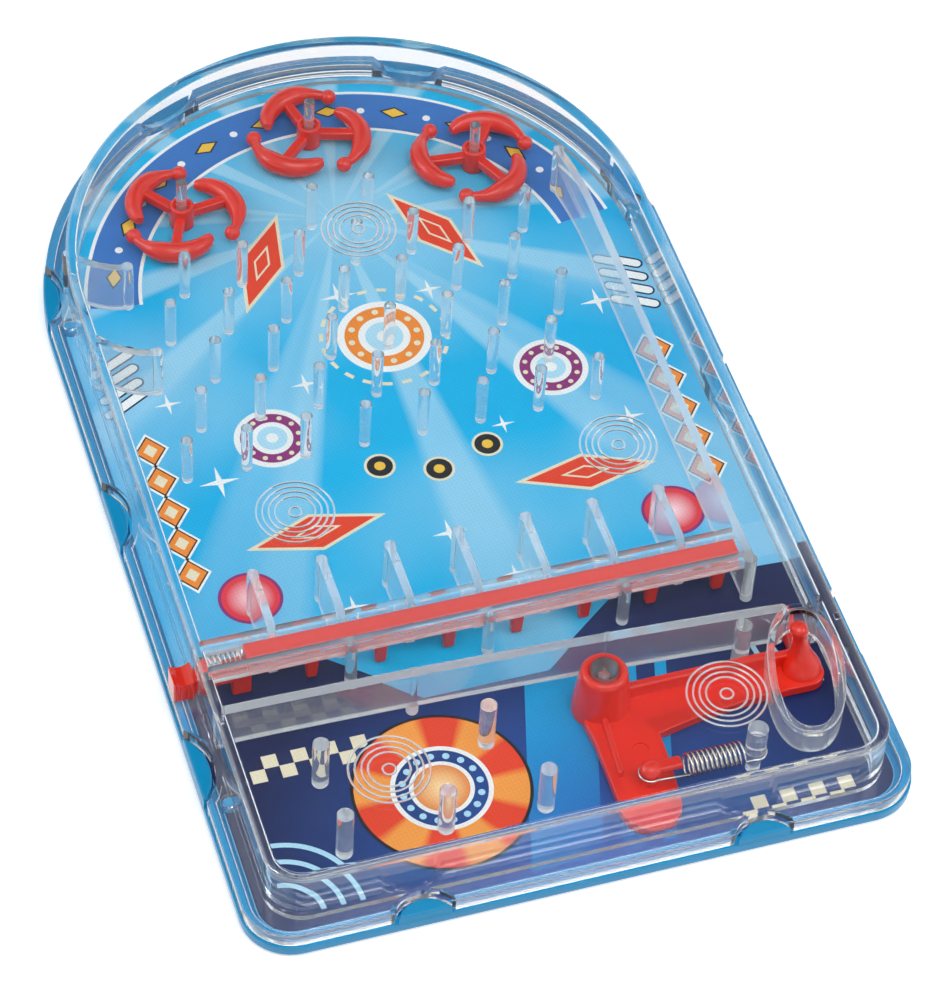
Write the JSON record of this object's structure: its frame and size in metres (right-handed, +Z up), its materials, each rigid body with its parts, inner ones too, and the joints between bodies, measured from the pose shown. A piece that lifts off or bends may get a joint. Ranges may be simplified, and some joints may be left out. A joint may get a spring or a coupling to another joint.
{
  "type": "handheld pinball game",
  "caption": "Handheld pinball game: blue tray, printed card, clear arched cover with pegs, red lever, slider, three spinners and steel balls.",
  "frame": {"origin": "centre of the underside of the blue tray, which lies on the table", "axes": "+X to the launch lane, +Y from the front edge to the arch, +Z up through the clear cover"},
  "size_m": [0.14, 0.235, 0.0182],
  "materials": {
    "blue_plastic": "moulded gloss",
    "printed_card": "printed card, satin",
    "clear_plastic": "clear moulded plastic",
    "red_plastic": "moulded gloss",
    "spring_steel": "drawn wire",
    "ball_steel": "polished"
  },
  "bodies": {
    "case": {"base_tray": "blue_plastic", "playfield_card": "printed_card", "clear_cover": "clear_plastic", "peg_1_1": "clear_plastic", "peg_1_2": "clear_plastic", "peg_1_3": "clear_plastic", "peg_1_4": "clear_plastic", "peg_1_5": "clear_plastic", "peg_1_6": "clear_plastic", "peg_1_7": "clear_plastic", "peg_1_8": "clear_plastic", "peg_2_1": "clear_plastic", "peg_2_2": "clear_plastic", "peg_2_3": "clear_plastic", "peg_2_4": "clear_plastic", "peg_2_5": "clear_plastic", "peg_2_6": "clear_plastic", "peg_2_7": "clear_plastic", "peg_3_1": "clear_plastic", "peg_3_2": "clear_plastic", "peg_3_3": "clear_plastic", "peg_3_4": "clear_plastic", "peg_3_5": "clear_plastic", "peg_3_6": "clear_plastic", "peg_3_7": "clear_plastic", "peg_4_1": "clear_plastic", "peg_4_2": "clear_plastic", "peg_4_3": "clear_plastic", "peg_4_4": "clear_plastic", "peg_4_5": "clear_plastic", "peg_4_6": "clear_plastic", "peg_4_7": "clear_plastic", "peg_5_1": "clear_plastic", "peg_5_2": "clear_plastic", "peg_5_3": "clear_plastic", "peg_5_4": "clear_plastic", "peg_5_5": "clear_plastic", "peg_5_6": "clear_plastic", "peg_5_7": "clear_plastic", "peg_6_1": "clear_plastic", "peg_6_2": "clear_plastic", "launcher_spring": "spring_steel", "slider_spring": "spring_steel"},
    "lever": {"launcher_lever": "red_plastic"},
    "slider": {"release_slider": "red_plastic"},
    "spinner_left_body": {"spinner_left": "red_plastic"},
    "spinner_centre_body": {"spinner_centre": "red_plastic"},
    "spinner_right_body": {"spinner_right": "red_plastic"},
    "ball_1": {"steel_ball_1": "ball_steel"},
    "ball_2": {"steel_ball_2": "ball_steel"},
    "ball_3": {"steel_ball_3": "ball_steel"},
    "ball_4": {"steel_ball_4": "ball_steel"},
    "ball_5": {"steel_ball_5": "ball_steel"},
    "ball_6": {"steel_ball_6": "ball_steel"}
  },
  "joints": [
    {"name": "lever_pull", "type": "hinge", "parent": "case", "child": "lever", "pos_m": [0.014, -0.0778, 0.0085], "axis": [0, 0, 1], "range_deg": [-22, 0], "stiffness_Nm_per_rad": 0.08, "springref_deg": 20.05, "deforming": ["launcher_spring"]},
    {"name": "slider_pull", "type": "slide", "parent": "case", "child": "slider", "axis": [-1, 0, 0], "range_m": [0, 0.0035], "stiffness_N_per_m": 300, "springref_m": -0.002, "deforming": ["slider_spring"]},
    {"name": "spin_left", "type": "hinge", "parent": "case", "child": "spinner_left_body", "pos_m": [-0.03353, 0.07578, 0.0056], "axis": [0, 0, 1], "continuous": true},
    {"name": "spin_centre", "type": "hinge", "parent": "case", "child": "spinner_centre_body", "pos_m": [0.0007, 0.093, 0.0056], "axis": [0, 0, 1], "continuous": true},
    {"name": "spin_right", "type": "hinge", "parent": "case", "child": "spinner_right_body", "pos_m": [0.03479, 0.07641, 0.0056], "axis": [0, 0, 1], "continuous": true},
    {"name": "ball_1_roll", "type": "slide", "parent": "case", "child": "ball_1", "axis": [0, 1, 0], "range_m": [0, 0.009]},
    {"name": "ball_2_roll", "type": "slide", "parent": "case", "child": "ball_2", "axis": [0, 1, 0], "range_m": [0, 0.009]},
    {"name": "ball_3_roll", "type": "slide", "parent": "case", "child": "ball_3", "axis": [0, 1, 0], "range_m": [0, 0.009]},
    {"name": "ball_4_roll", "type": "slide", "parent": "case", "child": "ball_4", "axis": [0, 1, 0], "range_m": [0, 0.009]},
    {"name": "ball_5_roll", "type": "slide", "parent": "case", "child": "ball_5", "axis": [0, 1, 0], "range_m": [0, 0.009]},
    {"name": "ball_6_roll", "type": "slide", "parent": "case", "child": "ball_6", "axis": [0, 1, 0], "range_m": [0, 0.009]}
  ]
}
